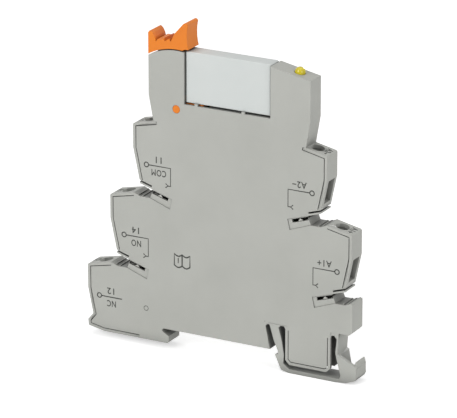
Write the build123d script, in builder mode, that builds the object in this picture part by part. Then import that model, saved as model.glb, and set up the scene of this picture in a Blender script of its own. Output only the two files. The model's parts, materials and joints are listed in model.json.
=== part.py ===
from build123d import *
import os
from math import atan, atan2, cos, degrees, hypot, radians, sin, sqrt, tan

# Slim plug-in relay module with a clip-on foot, in millimetres.
# X runs along the terminals, Y through the thin housing and Z away from the seat of the foot.
# The origin is the middle of the seat. The cover side faces -Y.

# housing and cover
module_width = 6.2
floor_wall = 0.9
cover_thickness = 0.9
rim_wall = 0.8
cover_ledge = 0.6
seam_gap = 0.22
fit_gap = 0.1
half_width = module_width / 2
floor_face = half_width - floor_wall
cover_face = half_width - cover_thickness

# terminal tiers
tier_tilt = 12.0
left_edge_x = -43.2
left_corner_z = 15.5
left_step_x = 7.6
left_step_z = 22.2
right_edge_x = 40.8
right_corner_z = 38.0
right_step_x = 7.8
right_step_z = 21.6
lower_right_x = 41.2
tier_edge_height = 7.1
tier_slant_length = 9.3
tier_face_run = 7.85
tier_corner_radius = 0.6
tilt_cos = cos(radians(tier_tilt))
tilt_sin = sin(radians(tier_tilt))

# bridge shafts between the tiers
shaft_tilt = 17.0
channel_start = 9.7
channel_reach = 12.8
channel_lean = 1.1
channel_floor_rise = 0.8
channel_height = 2.6
slit_width = 0.5
slit_length = 4.6
slit_reach = 11.3
slit_rise = 5.0
slot_length = 5.2
slot_height = 1.0
slot_reach = 16.1
slot_rise = 1.9
panel_depth = 0.25
panel_length = 6.1
panel_drop = 3.1
panel_lean = 0.7

# posts and relay recess
post_left_x = -22.9
post_left_foot_x = -21.4
post_left_knee_z = 69.0
post_right_x = 27.75
post_right_foot_x = 26.4
post_right_knee_z = 68.7
post_right_top_z = 80.3
recess_left_x = -11.6
recess_right_x = 15.4
recess_floor_z = 67.8
recess_post_z = 82.8
post_wall = 0.8
wall_foot_z = 70.2
nib_width = 1.0
nib_places = (-7.85, 6.9)

# foot: fixed hook, inner block, springy latch and release hook
grip_width = 35.0
grip_lip = 1.0
hook_floor_z = -4.3
toe_x = -43.3
toe_top_z = -1.5
toe_neck_x = -41.6
toe_neck_z = 0.6
foot_root_z = 8.5
leg_root_z = 7.9
latch_leg = 2.85
block_length = 14.1
block_floor_z = -3.64
block_radius = 1.3
strip_thickness = 1.15
strip_gap = 1.3
spring_leg_thickness = 0.6
release_reach = 8.05
release_wall = 1.1
release_web = 1.0

# plug-in relay
relay_thickness = 5.0
relay_side_gap = 0.15
relay_lift_gap = 0.6
relay_height = 14.7
relay_wall = 0.5
relay_corner = 0.5
relay_base_height = 1.5
relay_pad_height = 0.6
pin_width = 0.9
pin_thickness = 0.4
pin_length = 4.2
pin_seat_gap = 0.05
first_pin_x = -8.6
contact_pin_pitch = 4.0
coil_pin_x = 8.4
coil_pin_pitch = 3.8
yoke_thickness = 1.0
yoke_width = 3.4
yoke_left_x = -2.0
yoke_height = 8.5
bobbin_left_x = 0.0
flange_thickness = 0.8
flange_width = 3.8
flange_height = 7.8
tube_width = 2.6
tube_height = 3.0
winding_width = 3.6
winding_height = 6.0
core_diameter = 2.0
pole_width = 3.0
pole_height = 4.4
pole_thickness = 0.6
pole_gap = 0.6
armature_thickness = 0.8
armature_seat_gap = 0.1
armature_shoulder_z = 79.6
card_floor_z = 80.0
card_slot_top_z = 81.0
card_top_z = 81.6
card_width = 3.0
card_tab_width = 1.8
card_slot_gap = 0.15
spring_thickness = 0.25
spring_width = 2.0
spring_foot_z = 70.4
blade_thickness = 0.4
blade_width = 2.5
blade_top_z = 79.5
contact_z = 78.5
contact_diameter = 1.6
contact_face = 0.55
contact_rest_gap = 0.05
contact_travel = 0.5

# lever
pin_x = -14.13
pin_z = 66.0
lever_pin_diameter = 2.3
lever_pin_clearance = 0.05
post_top_radius = 17.0
lever_sweep_gap = 0.3
lever_head_thickness = 6.0
lever_stem_thickness = 4.1
lever_hub_radius = 2.4
lever_left_x = -23.0
lever_right_x = -10.25
lever_head_height = 8.0
finger_hollow = 0.5
lever_trough_rise = 1.4
lever_root_overlap = 0.7
tine_thickness = 0.75
tine_reach = 8.0
tine_gap = 0.3

# screw clamps
clamp_run = 4.5
screw_head_diameter = 3.7
screw_well_diameter = 4.0
screw_head_height = 1.7
screw_head_depth = 0.9
screw_shank_diameter = 2.5
screw_slot_width = 0.6
screw_slot_depth = 0.8
screw_slot_turn = 35.0
screw_head_chamfer = 0.2
screw_tip_depth = 9.4
ledge_thickness = 0.8
screw_hole_clearance = 0.05
sleeve_width = 4.1
sleeve_run = 4.4
sleeve_wall = 0.55
sleeve_roof = 1.5
sleeve_sole = 0.8
sleeve_height = 8.6
sleeve_depth = 6.0
sleeve_corner = 0.5
chamber_gap = 0.2
chamber_floor_gap = 0.5
chamber_wall = 0.8
wire_mouth_height = 7.0
wire_mouth_width = 3.7
wire_throat_height = 3.6
wire_throat_width = 3.0
wire_depth = 11.9

# conductors and board
sheet = 0.6
sheet_offset = 0.2
tongue_thickness = 0.8
tongue_width = 2.8
tongue_depth = 9.9
tongue_start = -2.3
tongue_end = 4.4
conductor_width = 1.8
lug_run = 1.6
lug_height = 0.7
lug_reach = 0.5
board_thickness = 1.0
board_left_x = 11.5
board_right_x = 20.9
board_foot_z = 24.5
board_shelf_z = 55.5
board_neck_z = 62.0
board_top_margin = 2.55
socket_leaf = 0.4
socket_gap = 0.1
socket_run = 1.8
socket_height = 4.6
socket_floor_z = 61.6
led_diameter = 3.0
led_flange_diameter = 3.5
led_flange_height = 0.6
led_depth = 3.4
led_x = 22.9
led_stand = 1.0
lead_size = 0.4
lead_pitch = 1.2
lead_length = 2.0
rectifier_z = 38.5
rectifier_length = 6.2
rectifier_height = 4.6
capacitor_z = 48.0
capacitor_side = 4.3
diode_z = 58.0
diode_length = 4.3
resistor_diameter = 2.2
resistor_length = 5.0
resistor_z = 27.5

os.makedirs("parts", exist_ok=True)


def side_plane(y):
    # a plane parallel to the cover, at height y, that extrudes towards the cover side
    return Plane.XZ.offset(-y)


def save(builder, name):
    builder.part.label = name
    export_step(builder.part, "parts/" + name + ".step")


def tier_corner(side, level):
    # outer top corner of a tier; side is 1 on the left and -1 on the right
    if side > 0:
        return (left_edge_x + level * left_step_x, left_corner_z + level * left_step_z)
    return (right_edge_x - level * right_step_x, right_corner_z + level * right_step_z)


def from_corner(side, level, run, rise):
    x, z = tier_corner(side, level)
    return (x + side * run, z + rise)


def tier_points(side, level):
    # a tier from the foot of its slanted wire face up to the end of its screw face
    foot_rise = -tier_edge_height - tier_slant_length * tilt_cos
    foot = from_corner(side, level, tier_slant_length * tilt_sin, foot_rise)
    knee = from_corner(side, level, 0, -tier_edge_height)
    corner = from_corner(side, level, 0, 0)
    face_end = from_corner(side, level, tier_face_run * tilt_cos, tier_face_run * tilt_sin)
    return [foot, knee, corner, face_end]


def channel_points(side, level):
    # the open mouth of the bridge shaft that lies on top of a tier
    inner = channel_reach + channel_lean
    roof = channel_floor_rise + channel_height
    lip_rise = roof + (inner - channel_start) * tan(radians(shaft_tilt))
    floor_start = from_corner(side, level, channel_start, channel_floor_rise)
    floor_end = from_corner(side, level, channel_reach, channel_floor_rise)
    roof_end = from_corner(side, level, inner, roof)
    lip = from_corner(side, level, channel_start, lip_rise)
    return [floor_start, floor_end, roof_end, lip]


def on_pin_circle(radius, x):
    return (x, pin_z + sqrt(radius ** 2 - (x - pin_x) ** 2))


shaft_places = [(1, 0), (1, 1), (-1, 0), (-1, -1)]
clamp_places = {"12": (1, 0), "14": (1, 1), "11": (1, 2), "a1": (-1, 0), "a2": (-1, 1)}


def clamp_point(side, level, run, depth):
    # a point in a clamp's own tilted frame: run inwards, depth down the screw axis
    x, z = from_corner(side, level, clamp_run * tilt_cos, clamp_run * tilt_sin)
    return (x + side * (run * tilt_cos + depth * tilt_sin), z + run * tilt_sin - depth * tilt_cos)


def clamp_plane(side, level, depth=0.0):
    # a plane across the screw axis, at a depth below the screw face
    x, z = clamp_point(side, level, 0, depth)
    inwards = (side * tilt_cos, 0, tilt_sin)
    return Plane(origin=(x, 0, z), x_dir=inwards, z_dir=(-side * tilt_sin, 0, tilt_cos))


def run_plane(side, level, run, depth):
    # a plane across the wire entry, at a distance inwards from the screw axis and a depth
    x, z = clamp_point(side, level, run, depth)
    return Plane(origin=(x, 0, z), x_dir=(0, 1, 0), z_dir=(side * tilt_cos, 0, tilt_sin))


# Derived places
relay_left_x = recess_left_x + relay_side_gap
relay_right_x = recess_right_x - relay_side_gap
relay_floor_z = recess_floor_z + relay_lift_gap
relay_top_z = relay_floor_z + relay_height
common_pin_x = first_pin_x + contact_pin_pitch
open_pin_x = common_pin_x + contact_pin_pitch
coil_pins = [coil_pin_x, coil_pin_x + coil_pin_pitch]
board_face = floor_face - board_thickness
post_slope = degrees(atan((recess_post_z - post_right_top_z) / (post_right_x - recess_right_x)))
led_z = recess_post_z - (led_x - recess_right_x) * tan(radians(post_slope))
led_plane = Plane(origin=(led_x, 0, led_z), x_dir=(cos(radians(post_slope)), 0, -sin(radians(post_slope))),
                  z_dir=(sin(radians(post_slope)), 0, cos(radians(post_slope))))
grip_half = grip_width / 2
seat_left_x = -grip_half - 1.1
hook_nose_x = -grip_half + 0.6
slot_left_x = grip_half - 2.0
block_left_x = grip_half + latch_leg
block_right_x = block_left_x + block_length
release_right_x = block_right_x + release_reach
strip_top_z = block_floor_z - strip_gap
strip_floor_z = strip_top_z - strip_thickness
slanted_face_run = -clamp_run - tier_edge_height * tilt_sin
top_left_x, top_left_z = tier_corner(1, 2)
top_right_x, top_right_z = tier_corner(-1, 1)
post_left_foot_z = top_left_z + (post_left_foot_x - top_left_x) * tan(radians(tier_tilt))
post_right_foot_z = top_right_z + (top_right_x - post_right_foot_x) * tan(radians(tier_tilt))

foot_points = [
    (seat_left_x, 0),
    (seat_left_x - 0.5, -0.6),
    (seat_left_x, -grip_lip - 0.2),
    (hook_nose_x, -grip_lip - 1.1),
    (hook_nose_x, hook_floor_z + 0.5),
    (hook_nose_x - 0.5, hook_floor_z),
    (toe_x + 5.3, hook_floor_z),
    (toe_x + 0.2, hook_floor_z + 1.0),
    (toe_x, toe_top_z),
    (toe_neck_x, toe_neck_z),
]
left_points = tier_points(1, 0)[1:] + channel_points(1, 0)
left_points += tier_points(1, 1) + channel_points(1, 1)
left_points += tier_points(1, 2)[:3]
left_points += [(post_left_foot_x, post_left_foot_z), (post_left_x, post_left_knee_z)]
post_arc_start = on_pin_circle(post_top_radius, post_left_x)
post_arc_middle = on_pin_circle(post_top_radius, (post_left_x + recess_left_x) / 2)
post_arc_end = on_pin_circle(post_top_radius, recess_left_x)
recess_points = [
    post_arc_end,
    (recess_left_x, recess_floor_z),
    (recess_right_x, recess_floor_z),
    (recess_right_x, recess_post_z),
    (post_right_x, post_right_top_z),
    (post_right_x, post_right_knee_z),
    (post_right_foot_x, post_right_foot_z),
]
right_points = list(reversed(tier_points(-1, 1)[:3]))
right_points += list(reversed(channel_points(-1, 0))) + list(reversed(tier_points(-1, 0)))
right_points += list(reversed(channel_points(-1, -1)))
right_points += [
    (lower_right_x - 0.6, from_corner(-1, -1, 0, 1.6)[1]),
    (lower_right_x, from_corner(-1, -1, 0, 1.3)[1]),
    (lower_right_x, foot_root_z + 1.0),
    (lower_right_x - 1.0, foot_root_z),
]
spring_right_x = block_right_x + 1.95 + spring_leg_thickness
release_points = [
    (spring_right_x, foot_root_z),
    (spring_right_x - 0.4, 2.4),
    (release_right_x - 0.1, -0.7),
    (release_right_x, -3.9),
    (release_right_x - 0.5, -4.8),
    (release_right_x - 3.3, strip_floor_z + 0.3),
    (release_right_x - 7.0, strip_floor_z),
    (block_left_x + 1.0, strip_floor_z),
    (grip_half + 1.5, strip_floor_z + 0.6),
    (grip_half - 0.4, -grip_lip - 0.3),
    (grip_half + 0.55, -grip_lip),
    (grip_half + 0.5, 0),
]
body_points = release_points + [(slot_left_x, 0)]

with BuildSketch(Plane.XZ) as outline:
    with BuildLine():
        Polyline(*foot_points, *left_points, post_arc_start)
        ThreePointArc(post_arc_start, post_arc_middle, post_arc_end)
        Polyline(*recess_points, *right_points, *body_points, foot_points[0])
    make_face()

with BuildSketch(Plane.XZ) as foot_gaps:
    # the slot between the body and the latch leg
    with BuildLine():
        Polyline((slot_left_x, -0.01), (slot_left_x - 1.4, 6.7), (slot_left_x - 0.9, 7.4),
                 (slot_left_x - 0.2, 7.4), (slot_left_x + 0.1, 6.7), (slot_left_x + 1.2, 3.0),
                 (grip_half + 0.5, -0.01), close=True)
    make_face()
    # the U-shaped gap that frees the latch leg, the lower strip and the spring strip from the block
    with BuildLine():
        Polyline((grip_half + 0.7, 6.9), (grip_half + 1.3, 7.6), (block_left_x - 0.4, 7.6),
                 (block_left_x, 6.9),
                 (block_left_x, block_floor_z + block_radius), (block_left_x + block_radius, block_floor_z),
                 (block_right_x - block_radius, block_floor_z), (block_right_x, block_floor_z + block_radius),
                 (block_right_x, 6.9), (block_right_x + 0.4, 7.6), (block_right_x + 1.2, 7.6),
                 (block_right_x + 1.95, 6.7), (block_right_x + 1.55, 2.6), (block_right_x + 1.95, 0.7),
                 (block_right_x + 3.2, -3.9), (block_right_x + 2.8, strip_top_z),
                 (block_left_x + 1.3, strip_top_z), (block_left_x - 0.6, strip_top_z + 1.4),
                 (block_left_x - 0.45, -0.8), (block_left_x - 1.15, 3.3), close=True)
    make_face()

with BuildSketch(Plane.XZ) as cover_reach:
    # where the cover runs right out to the outline: posts, shafts, lower right corner, seat
    add(outline.sketch)
    with BuildSketch(Plane.XZ, mode=Mode.INTERSECT):
        with BuildLine():
            Polyline((post_left_x - 2, post_left_foot_z + 0.1), (-20.4, post_left_foot_z + 0.1),
                     (-20.4, 55), (25.2, 55), (25.2, post_right_foot_z + 0.1),
                     (post_right_x + 2, post_right_foot_z + 0.1), (post_right_x + 2, 90),
                     (post_left_x - 2, 90), close=True)
        make_face()
        for side, level in shaft_places:
            with Locations(from_corner(side, level, 15.4, 1.3)):
                Rectangle(2 * (15.4 - tier_face_run * tilt_cos), 9.0)
        with Locations((lower_right_x - 3.2, foot_root_z + 4.5)):
            Rectangle(8.0, 13.0)
        with Locations(((slot_left_x + block_right_x) / 2 + 1.0, foot_root_z + 0.5)):
            Rectangle(block_right_x - slot_left_x + 5.0, 4.8)
        with Locations(((seat_left_x + slot_left_x) / 2 - 3.9, 1.0)):
            Rectangle(slot_left_x - seat_left_x + 7.9, 14.0)

with BuildSketch(Plane.XZ) as foot_zone:
    # the latch leg, lower strip and release hook, which the housing carries at full depth
    with Locations((grip_half + 0.5, leg_root_z / 2 + strip_floor_z)):
        Rectangle(6.3, leg_root_z - 2 * strip_floor_z)
    with Locations(((block_left_x + block_right_x) / 2, strip_floor_z)):
        Rectangle(block_right_x - block_left_x + 6.0, 2 * strip_thickness + strip_gap)
    with Locations(((block_right_x + release_right_x + 2.0) / 2, 0)):
        Rectangle(release_right_x + 2.0 - block_right_x, 2 * foot_root_z - 0.02)


def cover_profile(inset):
    # the cover lies inside the rim of the tiers and the block, and reaches the outline elsewhere
    with BuildSketch(Plane.XZ) as gap_rims:
        add(foot_gaps.sketch)
        offset(amount=inset, kind=Kind.INTERSECTION, mode=Mode.REPLACE)
    with BuildSketch(Plane.XZ) as profile:
        add(outline.sketch)
        offset(amount=-inset, kind=Kind.INTERSECTION, mode=Mode.REPLACE)
        add(gap_rims.sketch, mode=Mode.SUBTRACT)
        add(cover_reach.sketch)
        add(foot_gaps.sketch, mode=Mode.SUBTRACT)
        add(foot_zone.sketch, mode=Mode.SUBTRACT)
    return profile.sketch.faces().sort_by(SortBy.AREA)[-1]


def clamp_rectangle(side, level, runs, depths):
    # a rectangle in a clamp's tilted frame, between two runs and two depths
    middle = clamp_point(side, level, (runs[0] + runs[1]) / 2, (depths[0] + depths[1]) / 2)
    with Locations(middle):
        Rectangle(runs[1] - runs[0], depths[1] - depths[0], rotation=side * tier_tilt, mode=Mode.SUBTRACT)


def shaft_cuts(mode):
    # the slit above each bridge shaft and the narrow slot at its inner end
    for side, level in shaft_places:
        with Locations(from_corner(side, level, slit_reach, slit_rise)):
            Rectangle(slit_length, slit_width, rotation=-side * shaft_tilt, mode=mode)
        with Locations(from_corner(side, level, slot_reach, slot_rise)):
            Rectangle(slot_length, slot_height, rotation=-side * shaft_tilt, mode=mode)


# the walls of a clamp chamber, as runs and depths in its tilted frame
chamber_half = sleeve_run / 2 + chamber_gap
ledge_depth = screw_head_depth + screw_head_height + fit_gap + ledge_thickness
chamber_end = chamber_half + chamber_wall
block_edge_x = block_left_x + rim_wall + cover_ledge
chamber_depth = sleeve_depth + sleeve_height + chamber_floor_gap

with BuildSketch(Plane.XZ) as cavity:
    add(outline.sketch)
    offset(amount=-rim_wall - cover_ledge, kind=Kind.INTERSECTION, mode=Mode.REPLACE)
    add(foot_gaps.sketch, mode=Mode.SUBTRACT)
    add(foot_zone.sketch, mode=Mode.SUBTRACT)
    with BuildLine():
        Polyline((block_left_x - 3.0, -6), (block_edge_x, -6), (block_edge_x, foot_root_z + cover_ledge),
                 (slot_left_x - 2.3, foot_root_z + cover_ledge), (slot_left_x - 2.3, -1), close=True)
    make_face(mode=Mode.SUBTRACT)
    for side, level in clamp_places.values():
        clamp_rectangle(side, level, (-8.0, chamber_end), (-3.0, ledge_depth))
        clamp_rectangle(side, level, (-8.0, -chamber_half), (ledge_depth, chamber_depth + 2.0))
        clamp_rectangle(side, level, (chamber_half, chamber_end), (ledge_depth, chamber_depth))
        clamp_rectangle(side, level, (-8.0, chamber_end), (chamber_depth, chamber_depth + chamber_wall))

tine_opening_x = common_pin_x + 0.7
release_wall_x = release_right_x - release_wall

with BuildPart() as housing:
    with BuildSketch(side_plane(half_width)):
        add(outline.sketch)
        add(foot_gaps.sketch, mode=Mode.SUBTRACT)
    extrude(amount=module_width)
    for side, level in clamp_places.values():
        x, z = tier_corner(side, level)
        fillet(housing.edges().filter_by(Axis.Y).sort_by_distance((x, 0, z))[0], tier_corner_radius)
    # seat of the cover
    with BuildSketch(side_plane(-cover_face)):
        add(cover_profile(rim_wall))
    extrude(amount=cover_thickness, mode=Mode.SUBTRACT)
    # inside of the tray
    with BuildSketch(side_plane(floor_face)):
        add(cavity.sketch)
    extrude(amount=floor_face + cover_face, mode=Mode.SUBTRACT)
    # the left post is open to the outside, so that the lever can swing out
    with BuildSketch(side_plane(floor_face)):
        with BuildLine():
            Polyline((post_left_x - 1, post_left_foot_z + rim_wall),
                     (recess_left_x - post_wall, post_left_foot_z + rim_wall),
                     (recess_left_x - post_wall, pin_z + post_top_radius + 1),
                     (post_left_x - 1, pin_z + post_top_radius + 1), close=True)
        make_face()
    extrude(amount=floor_face + cover_face, mode=Mode.SUBTRACT)
    # opening under the relay for the lever's tines and the first two sockets
    with BuildSketch(side_plane(floor_face)):
        with BuildLine():
            Polyline((recess_left_x - post_wall - 0.1, recess_floor_z - 3),
                     (tine_opening_x, recess_floor_z - 3),
                     (tine_opening_x, recess_floor_z + 1), (recess_left_x, recess_floor_z + 1),
                     (recess_left_x, wall_foot_z), (recess_left_x - post_wall - 0.1, wall_foot_z),
                     close=True)
        make_face()
    extrude(amount=floor_face + cover_face, mode=Mode.SUBTRACT)
    # slots in the recess floor for the other relay pins
    with BuildSketch(Plane.XY.offset(recess_floor_z)):
        with Locations(*[(x, 0) for x in [open_pin_x] + coil_pins]):
            Rectangle(pin_width + 4 * fit_gap, pin_thickness + 4 * fit_gap)
    extrude(amount=-3.0, mode=Mode.SUBTRACT)
    # nibs that the relay stands on, on the floor side
    with BuildSketch(side_plane(half_width)):
        with Locations(*[(x, recess_floor_z) for x in nib_places]):
            Rectangle(nib_width, 2 * relay_lift_gap)
    extrude(amount=floor_wall)
    # hole for the lever pin
    with BuildSketch(side_plane(half_width)):
        with Locations((pin_x, pin_z)):
            Circle(lever_pin_diameter / 2 + lever_pin_clearance)
    extrude(amount=module_width, mode=Mode.SUBTRACT)
    # hole for the indicator in the sloped top of the right post
    with BuildSketch(led_plane.offset(1)):
        Circle(led_diameter / 2 + fit_gap)
    extrude(amount=-4, mode=Mode.SUBTRACT)
    # slits and slots of the bridge shafts
    with BuildSketch(side_plane(half_width)):
        shaft_cuts(Mode.ADD)
    extrude(amount=module_width, mode=Mode.SUBTRACT)
    for side, level in clamp_places.values():
        # screw well with the ledge that carries the screw head
        with BuildSketch(clamp_plane(side, level, -1)):
            Circle(screw_well_diameter / 2)
        extrude(amount=-1 - ledge_depth + ledge_thickness, mode=Mode.SUBTRACT)
        with BuildSketch(clamp_plane(side, level)):
            Circle(screw_shank_diameter / 2 + screw_hole_clearance)
        extrude(amount=-ledge_depth - 1, mode=Mode.SUBTRACT)
        # funnel for the wire in the slanted face
        with BuildSketch(run_plane(side, level, slanted_face_run, wire_depth - 1.0)):
            Rectangle(wire_mouth_width, wire_mouth_height)
        with BuildSketch(run_plane(side, level, -chamber_half, wire_depth)):
            Rectangle(wire_throat_width, wire_throat_height)
        loft(mode=Mode.SUBTRACT)
        # window for the busbar tongue in the inner wall of the chamber
        with BuildSketch(run_plane(side, level, chamber_half - 0.1, tongue_depth)):
            Rectangle(tongue_width + 2 * fit_gap, tongue_thickness + 2 * fit_gap)
        extrude(amount=chamber_wall + 0.2, mode=Mode.SUBTRACT)
    # pocket behind the web of the release hook, for the tip of a screwdriver
    with BuildSketch(side_plane(half_width)):
        with BuildLine():
            Polyline((spring_right_x + 0.3, 4.0), (spring_right_x + 0.3, 1.6), (spring_right_x + 1.3, -3.6),
                     (spring_right_x + 2.0, -4.4), (release_wall_x - 0.6, -4.2), (release_wall_x, -3.4),
                     (release_wall_x, 4.0), close=True)
        make_face()
    extrude(amount=module_width - release_web, mode=Mode.SUBTRACT)
    # raised stop inside the wall of the release hook
    with BuildSketch(side_plane(half_width)):
        with BuildLine():
            Polyline((release_wall_x, -1.2), (release_right_x - 0.75, 0.5), (release_right_x - 0.45, 0.5),
                     (release_right_x, -1.2), close=True)
        make_face()
    extrude(amount=module_width - release_web)
save(housing, "housing")

# Cover: inset plate with the recessed panels round the bridge slots and two nibs under the relay
with BuildPart() as side_cover:
    with BuildSketch(side_plane(-cover_face)):
        add(cover_profile(rim_wall + seam_gap))
        with Locations(*[(x, recess_floor_z) for x in nib_places]):
            Rectangle(nib_width, 2 * relay_lift_gap)
        shaft_cuts(Mode.SUBTRACT)
        with Locations((pin_x, pin_z)):
            Circle(lever_pin_diameter / 2 + lever_pin_clearance, mode=Mode.SUBTRACT)
    extrude(amount=cover_thickness)
    with BuildSketch(side_plane(-half_width + panel_depth)):
        for side, level in shaft_places:
            top_rise = channel_floor_rise + channel_height
            start = from_corner(side, level, channel_reach + channel_lean, top_rise)
            end = (start[0] + side * panel_length, start[1] - panel_length * tan(radians(shaft_tilt)))
            with BuildLine():
                Polyline(start, end, (end[0] - side * panel_lean, end[1] - panel_drop),
                         from_corner(side, level, channel_reach, channel_floor_rise), close=True)
            make_face()
    extrude(amount=panel_depth, mode=Mode.SUBTRACT)
save(side_cover, "side_cover")

# Lever: marker trough at the top, stem, pin, and two tines that lift the relay
head_sweep = post_top_radius + lever_sweep_gap
lever_top_z = pin_z + head_sweep + lever_head_height
trough_z = pin_z + head_sweep + lever_trough_rise
stem_top_z = pin_z + head_sweep + lever_root_overlap
stem_left_x = lever_left_x + 4.0
stem_right_x = recess_left_x - post_wall - 0.45
rest_low = (lever_right_x, relay_top_z + 0.6)
rest_middle = (lever_right_x - finger_hollow, (relay_top_z + lever_top_z) / 2)
rest_high = (lever_right_x - 0.15, lever_top_z - 0.5)
with BuildPart() as eject_lever:
    with BuildSketch(side_plane(lever_head_thickness / 2)):
        with BuildLine():
            left_foot = on_pin_circle(head_sweep, lever_left_x)
            right_foot = on_pin_circle(head_sweep, recess_left_x - 0.6)
            ThreePointArc(left_foot, on_pin_circle(head_sweep, pin_x - 3), right_foot)
            Polyline(right_foot, (recess_left_x, relay_top_z + 0.5), rest_low)
            # hollow finger rest at the right end
            ThreePointArc(rest_low, rest_middle, rest_high)
            # horn, then the ribbed marker trough down to the left end
            Polyline(rest_high, (lever_right_x - 0.6, lever_top_z - 0.1), (lever_right_x - 1.0, lever_top_z),
                     (lever_right_x - 1.6, lever_top_z - 0.35), (lever_left_x + 8.4, trough_z + 3.15),
                     (lever_left_x + 7.1, trough_z + 0.6), (lever_left_x + 6.7, trough_z + 1.4),
                     (lever_left_x + 5.2, trough_z + 0.5), (lever_left_x + 4.9, trough_z + 1.3),
                     (lever_left_x + 4.5, trough_z + 0.8), (lever_left_x + 3.0, trough_z + 0.8),
                     (lever_left_x + 2.45, trough_z), (lever_left_x + 2.1, trough_z + 1.3),
                     (lever_left_x + 1.5, trough_z + 2.4), (lever_left_x + 0.8, trough_z + 3.0),
                     (lever_left_x + 0.3, trough_z + 2.8), (lever_left_x, trough_z + 2.3), left_foot)
        make_face()
    extrude(amount=lever_head_thickness)
    with BuildSketch(side_plane(lever_stem_thickness / 2)):
        with BuildLine():
            Polyline((stem_left_x, stem_top_z), (stem_left_x, stem_top_z - 4.0),
                     (pin_x - lever_hub_radius, pin_z + 0.4), (pin_x + 1.6, pin_z + 0.4),
                     (stem_right_x, wall_foot_z - 0.5), (stem_right_x, stem_top_z), close=True)
        make_face()
        with Locations((pin_x, pin_z)):
            Circle(lever_hub_radius)
    extrude(amount=lever_stem_thickness)
    with BuildSketch(side_plane(half_width)):
        with Locations((pin_x, pin_z)):
            Circle(lever_pin_diameter / 2)
    extrude(amount=module_width)
    for y in (lever_stem_thickness / 2, -lever_stem_thickness / 2 + tine_thickness):
        with BuildSketch(side_plane(y)):
            with BuildLine():
                Polyline((pin_x, pin_z - 1.2), (pin_x + tine_reach - 0.5, relay_floor_z - tine_gap - 1.4),
                         (pin_x + tine_reach, relay_floor_z - tine_gap - 0.9),
                         (pin_x + tine_reach, relay_floor_z - tine_gap),
                         (pin_x + tine_reach - 1.6, relay_floor_z - tine_gap), (pin_x + 1.5, pin_z + 1.8),
                         (pin_x, pin_z + 1.8), close=True)
            make_face()
        extrude(amount=tine_thickness)
save(eject_lever, "eject_lever")


# Screw clamps: a slotted screw and a sleeve that it draws up against the busbar tongue
def clamp_screw(side, level):
    screw_axis = Axis((0, 0, 0), clamp_plane(side, level).z_dir)
    with BuildPart() as screw:
        with BuildSketch(clamp_plane(side, level, screw_head_depth)):
            Circle(screw_head_diameter / 2)
        extrude(amount=-screw_head_height)
        chamfer(screw.faces().sort_by(screw_axis)[-1].edges(), screw_head_chamfer)
        with BuildSketch(clamp_plane(side, level, screw_head_depth + screw_head_height)):
            Circle(screw_shank_diameter / 2)
        extrude(amount=screw_head_depth + screw_head_height - screw_tip_depth)
        with BuildSketch(clamp_plane(side, level, screw_head_depth)):
            Rectangle(screw_head_diameter + 1, screw_slot_width, rotation=screw_slot_turn)
        extrude(amount=-screw_slot_depth, mode=Mode.SUBTRACT)
    return screw


def clamp_sleeve(side, level):
    window_top = sleeve_depth + sleeve_roof
    window_height = sleeve_height - sleeve_roof - sleeve_sole
    with BuildPart() as sleeve:
        with BuildSketch(run_plane(side, level, -sleeve_run / 2, sleeve_depth + sleeve_height / 2)):
            RectangleRounded(sleeve_width, sleeve_height, sleeve_corner)
        extrude(amount=sleeve_run)
        with BuildSketch(run_plane(side, level, -sleeve_run / 2, window_top + window_height / 2)):
            Rectangle(sleeve_width - 2 * sleeve_wall, window_height)
        extrude(amount=sleeve_run, mode=Mode.SUBTRACT)
        with BuildSketch(clamp_plane(side, level, sleeve_depth)):
            Circle(screw_shank_diameter / 2 + screw_hole_clearance)
        extrude(amount=-sleeve_roof, mode=Mode.SUBTRACT)
    return sleeve


for name, (side, level) in clamp_places.items():
    save(clamp_screw(side, level), "clamp_screw_" + name)
    save(clamp_sleeve(side, level), "clamp_sleeve_" + name)


# Busbars: a tongue through the clamp, a flat conductor to the relay socket or the board, a bridge lug
def conductor(points):
    # a strip of one width along the points, square at its ends
    for start, end in zip(points, points[1:]):
        length = hypot(end[0] - start[0], end[1] - start[1])
        angle = degrees(atan2(end[1] - start[1], end[0] - start[0]))
        with Locations(((start[0] + end[0]) / 2, (start[1] + end[1]) / 2)):
            Rectangle(length + conductor_width, conductor_width, rotation=angle)


def busbar(name, face, points, lug_place=None, lug_points=()):
    side, level = clamp_places[name]
    start = clamp_point(side, level, chamber_end + fit_gap + conductor_width / 2, tongue_depth)
    with BuildPart() as bar:
        with BuildSketch(run_plane(side, level, tongue_start, tongue_depth)):
            Rectangle(tongue_width, tongue_thickness)
        extrude(amount=tongue_end - tongue_start)
        with BuildSketch(side_plane(face)):
            conductor([start] + points)
            if lug_place:
                lug_x, lug_z = from_corner(*lug_place, slot_reach, slot_rise)
                conductor([points[0]] + list(lug_points) + [(lug_x + side * lug_reach, lug_z)])
        extrude(amount=sheet)
        if lug_place:
            with BuildSketch(side_plane(face)):
                with Locations((lug_x, lug_z)):
                    Polygon((-lug_run / 2, -lug_height / 2), (lug_run / 2, -lug_height / 2),
                            (0, lug_height / 2), rotation=-side * shaft_tilt)
            extrude(amount=face + cover_face + lug_reach)
    return bar


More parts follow.
